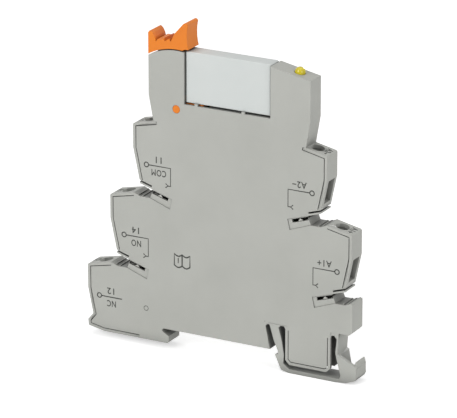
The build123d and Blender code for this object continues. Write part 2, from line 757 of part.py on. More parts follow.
socket_foot_z = socket_floor_z - conductor_width / 2
upper_sheet = sheet_offset + sheet
bar_12 = busbar("12", -sheet_offset, [(-29.0, 8.4), (first_pin_x, 14.0), (first_pin_x, socket_foot_z)])
bar_14 = busbar("14", upper_sheet, [(-22.5, 30.2), (open_pin_x, 36.0), (open_pin_x, socket_foot_z)],
                (1, 0), [(-22.8, 21.5)])
bar_11 = busbar("11", upper_sheet, [(-14.8, 52.5), (common_pin_x, 56.0), (common_pin_x, socket_foot_z)],
                (1, 1), [(-15.0, 44.5)])
bar_a1 = busbar("a1", board_face, [(27.0, 30.6), (19.5, 31.0)], (-1, -1), [(27.2, 21.5)])
bar_a2 = busbar("a2", board_face, [(19.5, 52.3)], (-1, 0), [(19.8, 43.5)])
save(bar_12, "busbar_12")
save(bar_14, "busbar_14")
save(bar_11, "busbar_11")
save(bar_a1, "busbar_a1")
save(bar_a2, "busbar_a2")

# Sockets for the relay pins: two leaves folded up from a foot
leaf_middle = pin_thickness / 2 + socket_gap + socket_leaf / 2
leaf_outside = leaf_middle + socket_leaf / 2


def pin_socket(x, foot_end):
    with BuildPart() as socket:
        with BuildSketch(Plane.XY.offset(socket_floor_z)):
            with Locations((x, (foot_end - leaf_outside) / 2)):
                Rectangle(socket_run, foot_end + leaf_outside)
        extrude(amount=socket_leaf)
        with BuildSketch(Plane.XY.offset(socket_floor_z)):
            with Locations((x, leaf_middle), (x, -leaf_middle)):
                Rectangle(socket_run, socket_leaf)
        extrude(amount=socket_height)
    return socket


save(pin_socket(first_pin_x, leaf_outside), "socket_12")
save(pin_socket(common_pin_x, leaf_outside), "socket_11")
save(pin_socket(open_pin_x, leaf_outside), "socket_14")
save(pin_socket(coil_pins[0], board_face), "socket_a1")
save(pin_socket(coil_pins[1], board_face), "socket_a2")

# Circuit board and the parts on it
board_head_x = post_right_x - board_top_margin
board_head_z = recess_floor_z - rim_wall - 1.0
board_top_z = led_z - led_depth - lead_length / 2
with BuildPart() as circuit_board:
    with BuildSketch(side_plane(floor_face)):
        with BuildLine():
            Polyline((board_left_x, board_shelf_z), (coil_pin_x - 2.4, board_shelf_z),
                     (coil_pin_x - 2.4, board_head_z), (recess_right_x + 2.0, board_head_z),
                     (recess_right_x + 2.0, board_top_z), (board_head_x, board_top_z),
                     (board_head_x, post_right_knee_z), (board_head_x - 1.0, board_neck_z),
                     (board_right_x, board_shelf_z - 7.5), (board_right_x, board_foot_z),
                     (board_left_x, board_foot_z), close=True)
        make_face()
    extrude(amount=board_thickness)
save(circuit_board, "circuit_board")


def board_block(x, z, length, height, thickness, edge):
    # a moulded block on the board with rounded edges and a pair of solder tabs
    with BuildPart() as block:
        with BuildSketch(side_plane(board_face)):
            with Locations((x, z)):
                Rectangle(length, height)
        extrude(amount=thickness)
        fillet(block.faces().sort_by(Axis.Y)[0].edges(), edge)
        with BuildSketch(side_plane(board_face)):
            with Locations((x, z)):
                Rectangle(length + 4 * edge, height / 2)
        extrude(amount=edge)
    return block


board_middle_x = (board_left_x + board_right_x) / 2
resistor_x = board_middle_x - 0.4
bridge = board_block(board_middle_x - 0.2, rectifier_z, rectifier_length, rectifier_height, 1.7, 0.3)
save(bridge, "bridge_rectifier")
capacitor = board_block(board_middle_x - 1.3, capacitor_z, capacitor_side, capacitor_side, 2.8, 0.3)
save(capacitor, "smoothing_capacitor")
save(board_block(coil_pin_x + 1.0, diode_z, diode_length, 2.6, 2.0, 0.25), "flyback_diode")

with BuildPart() as series_resistor:
    with BuildSketch(Plane.YZ.offset(resistor_x)):
        with Locations((board_face - resistor_diameter / 2, resistor_z)):
            Circle(resistor_diameter / 2)
    extrude(amount=resistor_length / 2 + 0.6, both=True)
save(series_resistor, "series_resistor")

with BuildPart() as indicator_led:
    with BuildSketch(led_plane.offset(-led_depth)):
        Circle(led_flange_diameter / 2)
    extrude(amount=led_flange_height)
    with BuildSketch(led_plane.offset(-led_depth)):
        Circle(led_diameter / 2)
    extrude(amount=led_depth + led_stand)
    fillet(indicator_led.faces().sort_by(Axis.Z)[-1].edges(), led_stand * 0.9)
    with BuildSketch(led_plane.offset(-led_depth)):
        with Locations((-lead_pitch / 2, 0), (lead_pitch / 2, 0)):
            Rectangle(lead_size, lead_size)
    extrude(amount=-lead_length)
    with BuildSketch(led_plane.offset(-led_depth - lead_length + lead_size)):
        with Locations(*[(x, (board_face - lead_size / 2) / 2) for x in (-lead_pitch / 2, lead_pitch / 2)]):
            Rectangle(lead_size, board_face + lead_size / 2)
    extrude(amount=-lead_size)
save(indicator_led, "indicator_led")

# Plug-in relay: case, base and pins
relay_base_z = relay_floor_z + relay_base_height
relay_middle_x = (relay_left_x + relay_right_x) / 2
relay_length = relay_right_x - relay_left_x
with BuildPart() as relay_case:
    with BuildSketch(Plane.XY.offset(relay_floor_z)):
        with Locations((relay_middle_x, 0)):
            Rectangle(relay_length, relay_thickness)
    extrude(amount=relay_height)
    fillet(relay_case.edges().filter_by(Axis.Z), relay_corner)
    chamfer(relay_case.faces().sort_by(Axis.Z)[-1].edges(), relay_corner / 2)
    with BuildSketch(Plane.XY.offset(relay_floor_z)):
        with Locations((relay_middle_x, 0)):
            Rectangle(relay_length - 2 * relay_wall, relay_thickness - 2 * relay_wall)
    extrude(amount=relay_height - relay_wall, mode=Mode.SUBTRACT)
save(relay_case, "relay_case")

yoke_floor_z = relay_base_z + relay_pad_height
yoke_top_z = yoke_floor_z + yoke_thickness
coil_z = yoke_top_z + flange_height / 2
yoke_right_x = relay_right_x - relay_wall - 0.45
bobbin_right_x = yoke_right_x - yoke_thickness
with BuildPart() as relay_base:
    with BuildSketch(Plane.XY.offset(relay_floor_z)):
        with Locations((relay_middle_x, 0)):
            Rectangle(relay_length - 2 * relay_wall, relay_thickness - 2 * relay_wall)
    extrude(amount=relay_base_height)
    # pads under the yoke
    with BuildSketch(Plane.XY.offset(relay_base_z)):
        with Locations(((coil_pins[0] + open_pin_x) / 2, 0), (bobbin_right_x + yoke_thickness / 2, 0)):
            Rectangle(yoke_thickness, yoke_width)
    extrude(amount=relay_pad_height)
    with BuildSketch(Plane.XY.offset(relay_floor_z)):
        with Locations(*[(x, 0) for x in [first_pin_x, common_pin_x, open_pin_x] + coil_pins]):
            Rectangle(pin_width + 2 * pin_seat_gap, pin_thickness + 2 * pin_seat_gap)
    extrude(amount=relay_base_height, mode=Mode.SUBTRACT)
save(relay_base, "relay_base")


pin_tip = Plane.XY.offset(relay_floor_z - pin_length)


def pin_section(x):
    with Locations((x, 0)):
        Rectangle(pin_width, pin_thickness)


def coil_pin(x):
    with BuildPart() as pin:
        with BuildSketch(pin_tip):
            pin_section(x)
        extrude(amount=pin_length + relay_base_height)
        with BuildSketch(Plane.XY.offset(relay_base_z)):
            with Locations((x, 0)):
                Rectangle(pin_width + pin_thickness, 2 * pin_thickness)
        extrude(amount=relay_pad_height / 2)
    return pin


save(coil_pin(coil_pins[0]), "coil_pin_a1")
save(coil_pin(coil_pins[1]), "coil_pin_a2")

# Magnet: yoke, core with its pole plate, bobbin and winding
with BuildPart() as relay_yoke:
    with BuildSketch(side_plane(yoke_width / 2)):
        with BuildLine():
            Polyline((yoke_left_x, yoke_floor_z), (yoke_right_x, yoke_floor_z),
                     (yoke_right_x, yoke_floor_z + yoke_height),
                     (bobbin_right_x, yoke_floor_z + yoke_height), (bobbin_right_x, yoke_top_z),
                     (yoke_left_x, yoke_top_z), close=True)
        make_face()
    extrude(amount=yoke_width)
    with BuildSketch(Plane.YZ.offset(bobbin_right_x)):
        with Locations((0, coil_z)):
            Circle(core_diameter / 2 + pin_seat_gap)
    extrude(amount=yoke_thickness, mode=Mode.SUBTRACT)
save(relay_yoke, "relay_yoke")

with BuildPart() as iron_core:
    with BuildSketch(Plane.YZ.offset(bobbin_left_x - pole_thickness)):
        with Locations((0, coil_z)):
            Rectangle(pole_width, pole_height)
    extrude(amount=pole_thickness)
    with BuildSketch(Plane.YZ.offset(bobbin_left_x)):
        with Locations((0, coil_z)):
            Circle(core_diameter / 2)
    extrude(amount=yoke_right_x - bobbin_left_x)
save(iron_core, "iron_core")

bobbin_length = bobbin_right_x - bobbin_left_x
with BuildPart() as coil_bobbin:
    for x in (bobbin_left_x, bobbin_right_x - flange_thickness):
        with BuildSketch(Plane.YZ.offset(x)):
            with Locations((0, coil_z)):
                Rectangle(flange_width, flange_height)
        extrude(amount=flange_thickness)
    with BuildSketch(Plane.YZ.offset(bobbin_left_x)):
        with Locations((0, coil_z)):
            Rectangle(tube_width, tube_height)
    extrude(amount=bobbin_length)
    with BuildSketch(Plane.YZ.offset(bobbin_left_x)):
        with Locations((0, coil_z)):
            Circle(core_diameter / 2 + pin_seat_gap)
    extrude(amount=bobbin_length, mode=Mode.SUBTRACT)
save(coil_bobbin, "coil_bobbin")

with BuildPart() as coil_winding:
    with BuildSketch(Plane.YZ.offset(bobbin_left_x + flange_thickness)):
        with Locations((0, coil_z)):
            RectangleRounded(winding_width, winding_height, 2 * relay_corner)
            Rectangle(tube_width, tube_height, mode=Mode.SUBTRACT)
    extrude(amount=bobbin_length - 2 * flange_thickness)
save(coil_winding, "coil_winding")

# Armature in front of the pole, hinged on the end of the yoke
armature_face_x = bobbin_left_x - pole_thickness - pole_gap
armature_left_x = armature_face_x - armature_thickness
tab_top_z = card_slot_top_z - fit_gap
armature_foot_z = yoke_top_z + armature_seat_gap
with BuildPart() as armature:
    with BuildSketch(Plane.YZ.offset(armature_left_x)):
        with Locations((0, (armature_foot_z + armature_shoulder_z) / 2)):
            Rectangle(yoke_width, armature_shoulder_z - armature_foot_z)
        with Locations((0, (armature_foot_z + tab_top_z) / 2)):
            Rectangle(card_tab_width, tab_top_z - armature_foot_z)
    extrude(amount=armature_thickness)
save(armature, "armature")

# Contacts: a moving spring between two fixed blades
spring_x = common_pin_x - 0.3
spring_face_x = spring_x + spring_thickness
with BuildPart() as contact_spring:
    with BuildSketch(Plane.YZ.offset(spring_x)):
        with Locations((0, (spring_foot_z + tab_top_z) / 2)):
            Rectangle(spring_width, tab_top_z - spring_foot_z)
        with Locations((spring_width / 2, tab_top_z), (-spring_width / 2, tab_top_z)):
            Rectangle(spring_width - card_tab_width, 2 * (tab_top_z - blade_top_z), mode=Mode.SUBTRACT)
    extrude(amount=spring_thickness)
    with BuildSketch(Plane.YZ.offset(spring_x - contact_face)):
        with Locations((0, contact_z)):
            Circle(contact_diameter / 2)
    extrude(amount=spring_thickness + 2 * contact_face)
save(contact_spring, "contact_spring")


def fixed_contact(pin_middle_x, blade_x, button_end):
    # pin, foot on the relay base, upright blade and the contact button
    foot_left = min(pin_middle_x - pin_width / 2, blade_x)
    foot_right = max(pin_middle_x + pin_width / 2, blade_x + blade_thickness)
    with BuildPart() as contact:
        with BuildSketch(pin_tip):
            pin_section(pin_middle_x)
        extrude(amount=pin_length + relay_base_height)
        with BuildSketch(Plane.XY.offset(relay_base_z)):
            with Locations(((foot_left + foot_right) / 2, 0)):
                Rectangle(foot_right - foot_left, card_tab_width)
        extrude(amount=blade_thickness)
        with BuildSketch(Plane.YZ.offset(blade_x)):
            with Locations((0, (relay_base_z + blade_top_z) / 2)):
                Rectangle(blade_width, blade_top_z - relay_base_z)
        extrude(amount=blade_thickness)
        with BuildSketch(Plane.YZ.offset(blade_x + blade_thickness / 2)):
            with Locations((0, contact_z)):
                Circle(contact_diameter / 2)
        extrude(amount=button_end - blade_x - blade_thickness / 2)
    return contact


rest_button_x = spring_x - contact_face - contact_rest_gap
work_button_x = spring_face_x + contact_face + contact_rest_gap + contact_travel
rest_blade_x = rest_button_x - contact_face - blade_thickness
work_blade_x = work_button_x + contact_face / 4
save(fixed_contact(first_pin_x, rest_blade_x, rest_button_x), "contact_nc")
save(fixed_contact(open_pin_x, work_blade_x, work_button_x), "contact_no")

with BuildPart() as common_pin:
    with BuildSketch(pin_tip):
        pin_section(common_pin_x)
    extrude(amount=pin_length + relay_base_height)
    with BuildSketch(Plane.XY.offset(relay_base_z)):
        with Locations((common_pin_x + blade_thickness / 2, 0)):
            Rectangle(pin_width + blade_thickness, card_tab_width)
    extrude(amount=blade_thickness)
    with BuildSketch(Plane.YZ.offset(spring_face_x + contact_rest_gap)):
        with Locations((0, yoke_floor_z)):
            Rectangle(spring_width, 2 * (yoke_floor_z - relay_base_z))
    extrude(amount=blade_thickness)
save(common_pin, "common_pin")

# Card that carries the armature's stroke to the moving spring
card_left_x = spring_x - 2 * blade_thickness
card_right_x = armature_face_x + 2 * card_slot_gap + blade_thickness
with BuildPart() as pusher_card:
    with BuildSketch(side_plane(card_width / 2)):
        with Locations(((card_left_x + card_right_x) / 2, (card_floor_z + card_top_z) / 2)):
            Rectangle(card_right_x - card_left_x, card_top_z - card_floor_z)
    extrude(amount=card_width)
    with BuildSketch(Plane.XY.offset(card_floor_z)):
        with Locations(((spring_x + spring_face_x) / 2, 0)):
            Rectangle(spring_thickness + 2 * card_slot_gap, card_tab_width + 2 * card_slot_gap)
        with Locations(((armature_left_x + armature_face_x) / 2, 0)):
            Rectangle(armature_thickness + 2 * card_slot_gap, card_tab_width + 2 * card_slot_gap)
    extrude(amount=card_slot_top_z - card_floor_z, mode=Mode.SUBTRACT)
save(pusher_card, "pusher_card")
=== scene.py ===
import json
import math
import bpy
from mathutils import Matrix, Vector

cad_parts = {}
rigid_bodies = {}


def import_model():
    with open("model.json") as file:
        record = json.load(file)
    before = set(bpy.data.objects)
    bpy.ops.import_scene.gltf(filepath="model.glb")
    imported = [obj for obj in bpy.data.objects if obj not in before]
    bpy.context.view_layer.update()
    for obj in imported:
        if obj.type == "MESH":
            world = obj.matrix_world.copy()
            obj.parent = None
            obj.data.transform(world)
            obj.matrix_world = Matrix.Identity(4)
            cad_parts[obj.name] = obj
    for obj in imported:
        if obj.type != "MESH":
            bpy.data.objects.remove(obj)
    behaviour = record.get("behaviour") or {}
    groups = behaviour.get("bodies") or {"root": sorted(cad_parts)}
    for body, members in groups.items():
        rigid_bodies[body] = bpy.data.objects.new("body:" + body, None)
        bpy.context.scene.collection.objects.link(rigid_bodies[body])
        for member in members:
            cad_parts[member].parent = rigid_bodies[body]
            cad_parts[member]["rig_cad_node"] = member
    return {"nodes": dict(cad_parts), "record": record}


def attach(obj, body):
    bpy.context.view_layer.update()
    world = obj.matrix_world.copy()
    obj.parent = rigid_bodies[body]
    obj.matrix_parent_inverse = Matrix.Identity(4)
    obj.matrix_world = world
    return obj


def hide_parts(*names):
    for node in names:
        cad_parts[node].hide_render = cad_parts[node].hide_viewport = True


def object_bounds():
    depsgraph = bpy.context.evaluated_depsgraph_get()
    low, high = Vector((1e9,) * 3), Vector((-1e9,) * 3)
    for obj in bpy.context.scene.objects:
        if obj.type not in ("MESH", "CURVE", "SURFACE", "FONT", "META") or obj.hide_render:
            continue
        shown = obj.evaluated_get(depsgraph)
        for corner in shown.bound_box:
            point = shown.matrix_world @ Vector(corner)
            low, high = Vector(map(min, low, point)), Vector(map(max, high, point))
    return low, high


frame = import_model()
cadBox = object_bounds()
mm = 0.001


def linear(hexColour):
    # sRGB hex to the linear values that the shader sockets want
    values = [int(hexColour[i:i + 2], 16) / 255 for i in (1, 3, 5)]
    return tuple(v / 12.92 if v <= 0.04045 else ((v + 0.055) / 1.055) ** 2.4 for v in values) + (1.0,)


def addNode(tree, kind, values=None, links=None, **settings):
    # one node with its settings, socket values and incoming links
    node = tree.nodes.new(kind)
    for name, value in settings.items():
        setattr(node, name, value)
    for socket, value in (values or {}).items():
        node.inputs[socket].default_value = value
    for socket, source in (links or {}).items():
        tree.links.new(source, node.inputs[socket])
    return node


def newMaterial(name):
    material = bpy.data.materials.new(name)
    material.use_nodes = True
    tree = material.node_tree
    tree.nodes.clear()
    shader = addNode(tree, "ShaderNodeBsdfPrincipled")
    addNode(tree, "ShaderNodeOutputMaterial", links={"Surface": shader.outputs["BSDF"]})
    coords = addNode(tree, "ShaderNodeTexCoord").outputs["Object"]
    return material, tree, shader, coords


def mouldedPlastic(name, look):
    # thermoplastic from a spark-eroded tool: even colour, fine grain, slightly soft edges, and shade
    # painted into deep corners and wells
    material, tree, shader, coords = newMaterial(name)
    cloud = addNode(tree, "ShaderNodeTexNoise",
                    {"Scale": 1 / look["cloudSize"], "Detail": look["cloudDetail"]}, {"Vector": coords})
    tone = addNode(tree, "ShaderNodeValToRGB", links={"Fac": cloud.outputs["Fac"]})
    ends = zip(look["toneRange"], (look["shade"], look["colour"]))
    for stop, (place, colour) in zip(tone.color_ramp.elements, ends):
        stop.position = place
        stop.color = linear(colour)
    # painted shade: ambient occlusion darkens the colour in deep corners and wells, where shadow falls
    depth = addNode(tree, "ShaderNodeAmbientOcclusion", {"Distance": look["shadowReach"]},
                    samples=look["shadowSamples"])
    darkest, lightest = look["shadowRange"]
    level = addNode(tree, "ShaderNodeMapRange",
                    {"From Min": darkest, "From Max": lightest, "To Min": look["shadow"]},
                    {"Value": depth.outputs["AO"]})
    paintedShadeColour = addNode(tree, "ShaderNodeVectorMath", operation="SCALE",
                   links={0: tone.outputs["Color"], "Scale": level.outputs["Result"]})
    tree.links.new(paintedShadeColour.outputs["Vector"], shader.inputs["Base Color"])
    grain = addNode(tree, "ShaderNodeTexNoise",
                    {"Scale": 1 / look["grainSize"], "Detail": look["grainDetail"],
                     "Roughness": look["grainMix"]}, {"Vector": coords})
    smoother, rougher = look["glossSpread"]
    gloss = addNode(tree, "ShaderNodeMapRange",
                    {"To Min": look["roughness"] - smoother, "To Max": look["roughness"] + rougher},
                    {"Value": grain.outputs["Fac"]})
    tree.links.new(gloss.outputs["Result"], shader.inputs["Roughness"])
    edge = addNode(tree, "ShaderNodeBevel", {"Radius": look["edge"]}, samples=look["edgeSamples"])
    bump = addNode(tree, "ShaderNodeBump", {"Strength": look["bump"], "Distance": look["grainDepth"]},
                   {"Height": grain.outputs["Fac"], "Normal": edge.outputs["Normal"]})
    tree.links.new(bump.outputs["Normal"], shader.inputs["Normal"])
    shader.inputs["IOR"].default_value = look["ior"]
    return material


# shadow, shadowReach, shadowRange and shadowSamples set the shade painted into the colour in deep corners
# and wells
housingPlastic = {"colour": "#B7B8B2", "shade": "#B1B2AC", "roughness": 0.5, "ior": 1.53, "bump": 0.35,
                  "cloudSize": 14 * mm, "cloudDetail": 3.0, "toneRange": (0.3, 0.7),
                  "grainSize": 0.22 * mm, "grainDetail": 4.0, "grainMix": 0.6, "grainDepth": 0.02 * mm,
                  "glossSpread": (0.05, 0.07), "edge": 0.16 * mm, "edgeSamples": 4,
                  "shadow": 0.15, "shadowReach": 7 * mm, "shadowRange": (0.1, 0.85), "shadowSamples": 8}
casePlastic = dict(housingPlastic, colour="#D6DAD8", shade="#D1D6D4", ior=1.48, bump=0.2)
leverPlastic = dict(housingPlastic, colour="#EE8412", shade="#E87C0C", roughness=0.42, bump=0.25,
                    shadow=0.6, shadowReach=2.5 * mm)
bobbinPlastic = dict(housingPlastic, colour="#DAD7CC", shade="#D2CFC4")
basePlastic = dict(housingPlastic, colour="#26282A", shade="#202224", roughness=0.45)
epoxyPlastic = dict(housingPlastic, colour="#1E1F21", shade="#191A1C", roughness=0.4, grainSize=0.12 * mm)


def platedMetal(name, look):
    # bright plated sheet or bar with the fine lines of drawing and stamping
    material, tree, shader, coords = newMaterial(name)
    spread = addNode(tree, "ShaderNodeMapping", {"Scale": look["stretch"]}, {"Vector": coords})
    lines = addNode(tree, "ShaderNodeTexNoise",
                    {"Scale": 1 / look["lineSize"], "Detail": look["lineDetail"]},
                    {"Vector": spread.outputs["Vector"]})
    tone = addNode(tree, "ShaderNodeValToRGB", links={"Fac": lines.outputs["Fac"]})
    tone.color_ramp.elements[0].color = linear(look["shade"])
    tone.color_ramp.elements[1].color = linear(look["colour"])
    tree.links.new(tone.outputs["Color"], shader.inputs["Base Color"])
    smoother, rougher = look["glossSpread"]
    gloss = addNode(tree, "ShaderNodeMapRange",
                    {"To Min": look["roughness"] - smoother, "To Max": look["roughness"] + rougher},
                    {"Value": lines.outputs["Fac"]})
    tree.links.new(gloss.outputs["Result"], shader.inputs["Roughness"])
    bump = addNode(tree, "ShaderNodeBump", {"Strength": look["bump"], "Distance": look["lineDepth"]},
                   {"Height": lines.outputs["Fac"]})
    tree.links.new(bump.outputs["Normal"], shader.inputs["Normal"])
    shader.inputs["Metallic"].default_value = 1.0
    return material


zincSteel = {"colour": "#777873", "shade": "#5A5B57", "roughness": 0.4, "glossSpread": (0.08, 0.1),
             "lineSize": 0.3 * mm, "lineDetail": 3.0, "lineDepth": 0.01 * mm, "bump": 0.2,
             "stretch": (1, 1, 4)}
tinnedCopper = dict(zincSteel, colour="#D4D4CE", shade="#BCBCB6", roughness=0.3)
nickelIron = dict(zincSteel, colour="#B4B2AC", shade="#98968F", roughness=0.36)
springBronze = dict(zincSteel, colour="#D9B27C", shade="#BF9660", roughness=0.3)
copperWire = dict(zincSteel, colour="#C8703C", shade="#8E4520", roughness=0.32, lineSize=0.12 * mm,
                  stretch=(1, 0.05, 0.05))


def lampLens(name, look):
    # tinted epoxy dome: glossy, milky and only a little see-through
    material, tree, shader, coords = newMaterial(name)
    cloud = addNode(tree, "ShaderNodeTexNoise", {"Scale": 1 / look["cloudSize"]}, {"Vector": coords})
    tone = addNode(tree, "ShaderNodeValToRGB", links={"Fac": cloud.outputs["Fac"]})
    tone.color_ramp.elements[0].color = linear(look["shade"])
    tone.color_ramp.elements[1].color = linear(look["colour"])
    tree.links.new(tone.outputs["Color"], shader.inputs["Base Color"])
    shader.inputs["Roughness"].default_value = look["roughness"]
    shader.inputs["Transmission Weight"].default_value = look["clear"]
    shader.inputs["IOR"].default_value = look["ior"]
    return material


ledLens = {"colour": "#F2E012", "shade": "#DCC80A", "roughness": 0.16, "clear": 0.2, "ior": 1.55,
           "cloudSize": 1.2 * mm}


def boardLaminate(name, look):
    # glass-epoxy board under a green solder mask, with the weave showing faintly
    material, tree, shader, coords = newMaterial(name)
    weave = addNode(tree, "ShaderNodeTexBrick",
                    {"Scale": 1 / look["weaveSize"], "Color1": linear(look["colour"]),
                     "Color2": linear(look["shade"]), "Mortar": linear(look["shade"])}, {"Vector": coords})
    tree.links.new(weave.outputs["Color"], shader.inputs["Base Color"])
    shader.inputs["Roughness"].default_value = look["roughness"]
    return material


greenBoard = {"colour": "#1E6B42", "shade": "#195C38", "roughness": 0.3, "weaveSize": 1.2 * mm}


def printedInk(name, look):
    # pad-printed ink: matt and a little uneven in tone
    material, tree, shader, coords = newMaterial(name)
    cover = addNode(tree, "ShaderNodeTexNoise",
                    {"Scale": 1 / look["cloudSize"], "Detail": look["cloudDetail"]}, {"Vector": coords})
    tone = addNode(tree, "ShaderNodeValToRGB", links={"Fac": cover.outputs["Fac"]})
    tone.color_ramp.elements[0].color = linear(look["colour"])
    tone.color_ramp.elements[1].color = linear(look["shade"])
    tree.links.new(tone.outputs["Color"], shader.inputs["Base Color"])
    shader.inputs["Roughness"].default_value = look["roughness"]
    return material


inkLook = {"colour": "#3C3E3A", "shade": "#454742", "roughness": 0.55, "cloudSize": 1.5 * mm,
           "cloudDetail": 4.0}
ink = printedInk("padPrintedInk", inkLook)

finishes = {
    "housing_plastic": mouldedPlastic("polyamideWarmGrey", housingPlastic),
    "cover_plastic": mouldedPlastic("polyamideWarmGreyCover", housingPlastic),
    "lever_plastic": mouldedPlastic("polyamideOrange", leverPlastic),
    "relay_case_plastic": mouldedPlastic("polyesterPaleGrey", casePlastic),
    "relay_base_plastic": mouldedPlastic("polyesterBlack", basePlastic),
    "bobbin_plastic": mouldedPlastic("polyesterIvory", bobbinPlastic),
    "component_body": mouldedPlastic("mouldedEpoxy", epoxyPlastic),
    "led_lens": lampLens("tintedEpoxyLens", ledLens),
    "board_laminate": boardLaminate("glassEpoxyBoard", greenBoard),
    "tinned_copper": platedMetal("tinnedCopper", tinnedCopper),
    "zinc_plated_steel": platedMetal("zincPlatedSteel", zincSteel),
    "magnet_iron": platedMetal("nickelPlatedIron", nickelIron),
    "winding_copper": platedMetal("enamelledCopperWire", copperWire),
    "contact_alloy": platedMetal("springBronze", springBronze),
}

for entry in frame["record"]["subparts"]:
    part = frame["nodes"][entry["node"]]
    part.data.materials.clear()
    part.data.materials.append(finishes[entry["material_slot"]])
print("materials on", len(frame["nodes"]), "nodes")


def selectOnly(piece):
    bpy.ops.object.select_all(action="DESELECT")
    piece.select_set(True)
    bpy.context.view_layer.objects.active = piece


wireMouth = {"middle": (-42.67, 0, 4.47), "size": (0.62, 3.68, 6.96), "tilt": -12.0, "weld": 0.0005 * mm,
             "smooth": 25.0}


def openMouth(look):
    # the housing's solid has a thin film over its lowest wire funnel, so a copy without the film is shown
    selectOnly(frame["nodes"]["housing"])
    bpy.ops.object.duplicate()
    shell = bpy.context.object
    shell.name = "housing_shell"
    del shell["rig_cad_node"]
    bpy.ops.object.mode_set(mode="EDIT")
    bpy.ops.mesh.select_all(action="SELECT")
    bpy.ops.mesh.remove_doubles(threshold=look["weld"])
    bpy.ops.object.mode_set(mode="OBJECT")
    bpy.ops.mesh.primitive_cube_add(size=1, location=Vector(look["middle"]) * mm,
                                    rotation=(0, math.radians(look["tilt"]), 0))
    cutter = bpy.context.object
    cutter.scale = Vector(look["size"]) * mm
    cut = shell.modifiers.new("mouthCut", "BOOLEAN")
    cut.object = cutter
    selectOnly(shell)
    bpy.ops.object.modifier_apply(modifier="mouthCut")
    bpy.data.objects.remove(cutter)
    bpy.ops.object.shade_smooth_by_angle(angle=math.radians(look["smooth"]))
    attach(shell, "base")
    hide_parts("housing")
    print("housing shell", len(shell.data.polygons), "faces")


openMouth(wireMouth)


def joinAll(pieces):
    bpy.ops.object.select_all(action="DESELECT")
    for piece in pieces:
        piece.select_set(True)
    bpy.context.view_layer.objects.active = pieces[0]
    bpy.ops.object.join()
    return bpy.context.object


def joinPieces(name, pieces, body, material):
    joined = joinAll(pieces)
    joined.name = name
    joined.data.materials.clear()
    joined.data.materials.append(material)
    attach(joined, body)


# the print's sizes in mm, the face that it lies on, and how finely its letters and rings are drawn
printing = {"face": -3.1, "thickness": 0.02, "stroke": 0.34, "ring": 0.68, "fork": (0.85, 0.75, 0.62),
            "wordReach": 3.95, "wordRise": 1.95, "roleDrop": 1.88, "letterSteps": 4, "ringSteps": 28}
numberLook = {"size": 2.65, "spacing": 1.15, "width": 1.0, "boldness": 0.045}
roleLook = dict(numberLook, spacing=1.1, width=0.76)
signLook = dict(numberLook, spacing=1.08, width=0.93)
smallLook = {"size": 2.45, "spacing": 1.08, "width": 0.9, "boldness": 0.11}
letterLook = {"size": 2.2, "spacing": 1.0, "width": 1.0, "boldness": 0.07}


def putInPlace(piece, along, up, place):
    # turns a flat mesh that lies in XY so that it reads along one way and stands up the other
    facing = Vector(along).cross(Vector(up))
    turn = Matrix((along, up, facing)).transposed().to_4x4()
    piece.matrix_world = Matrix.Translation(Vector(place) * mm) @ turn
    selectOnly(piece)
    bpy.ops.object.transform_apply(location=True, rotation=True, scale=True)


def addWord(word, look, along, up, place):
    # the letters are made bolder by a bevel outwards, then pressed flat
    bpy.ops.object.text_add()
    letters = bpy.context.object
    letters.data.body = word
    letters.data.size = look["size"] * mm
    letters.data.space_character = look["spacing"]
    letters.data.align_x = "CENTER"
    letters.data.align_y = "CENTER"
    letters.data.bevel_depth = look["boldness"] * mm
    letters.data.bevel_resolution = 0
    letters.data.resolution_u = printing["letterSteps"]
    selectOnly(letters)
    bpy.ops.object.convert(target="MESH")
    letters = bpy.context.object
    letters.scale = (look["width"], 1, printing["thickness"] / 2 / look["boldness"])
    bpy.ops.object.transform_apply(location=False, rotation=False, scale=True)
    putInPlace(letters, along, up, place)
    return letters


def addStrokes(name, strokes, width, along, up, place):
    # each stroke is a run of points, closed or open, drawn as a flat line of ink
    curve = bpy.data.curves.new(name, "CURVE")
    curve.dimensions = "3D"
    curve.bevel_depth = width / 2 * mm
    curve.bevel_resolution = 1
    curve.use_fill_caps = True
    for points, closed in strokes:
        spline = curve.splines.new("POLY")
        spline.points.add(len(points) - 1)
        for point, (x, y) in zip(spline.points, points):
            point.co = (x * mm, y * mm, 0, 1)
        spline.use_cyclic_u = closed
    lines = bpy.data.objects.new(name, curve)
    bpy.context.collection.objects.link(lines)
    selectOnly(lines)
    bpy.ops.object.convert(target="MESH")
    lines = bpy.context.object
    lines.scale = (1, 1, printing["thickness"] / width)
    bpy.ops.object.transform_apply(location=False, rotation=False, scale=True)
    putInPlace(lines, along, up, place)
    return lines


def ringPoints(radius):
    count = printing["ringSteps"]
    turns = [2 * math.pi * i / count for i in range(count)]
    return [(radius * math.cos(turn), radius * math.sin(turn)) for turn in turns]


terminals = [
    {"word": "11", "role": "COM", "circle": (-23.77, 48.3), "side": 1, "reach": 7.72, "drop": 5.3},
    {"word": "14", "role": "NO", "circle": (-31.19, 26.2), "side": 1, "reach": 7.84, "drop": 5.3},
    {"word": "12", "role": "NC", "circle": (-39.48, 6.43), "side": 1, "reach": 7.4, "drop": 0},
    {"word": "A1+", "role": "", "circle": (36.29, 26.6), "side": -1, "reach": 7.42, "drop": 5.05},
    {"word": "A2\u2212", "role": "", "circle": (28.4, 48.25), "side": -1, "reach": 7.42, "drop": 5.05},
]


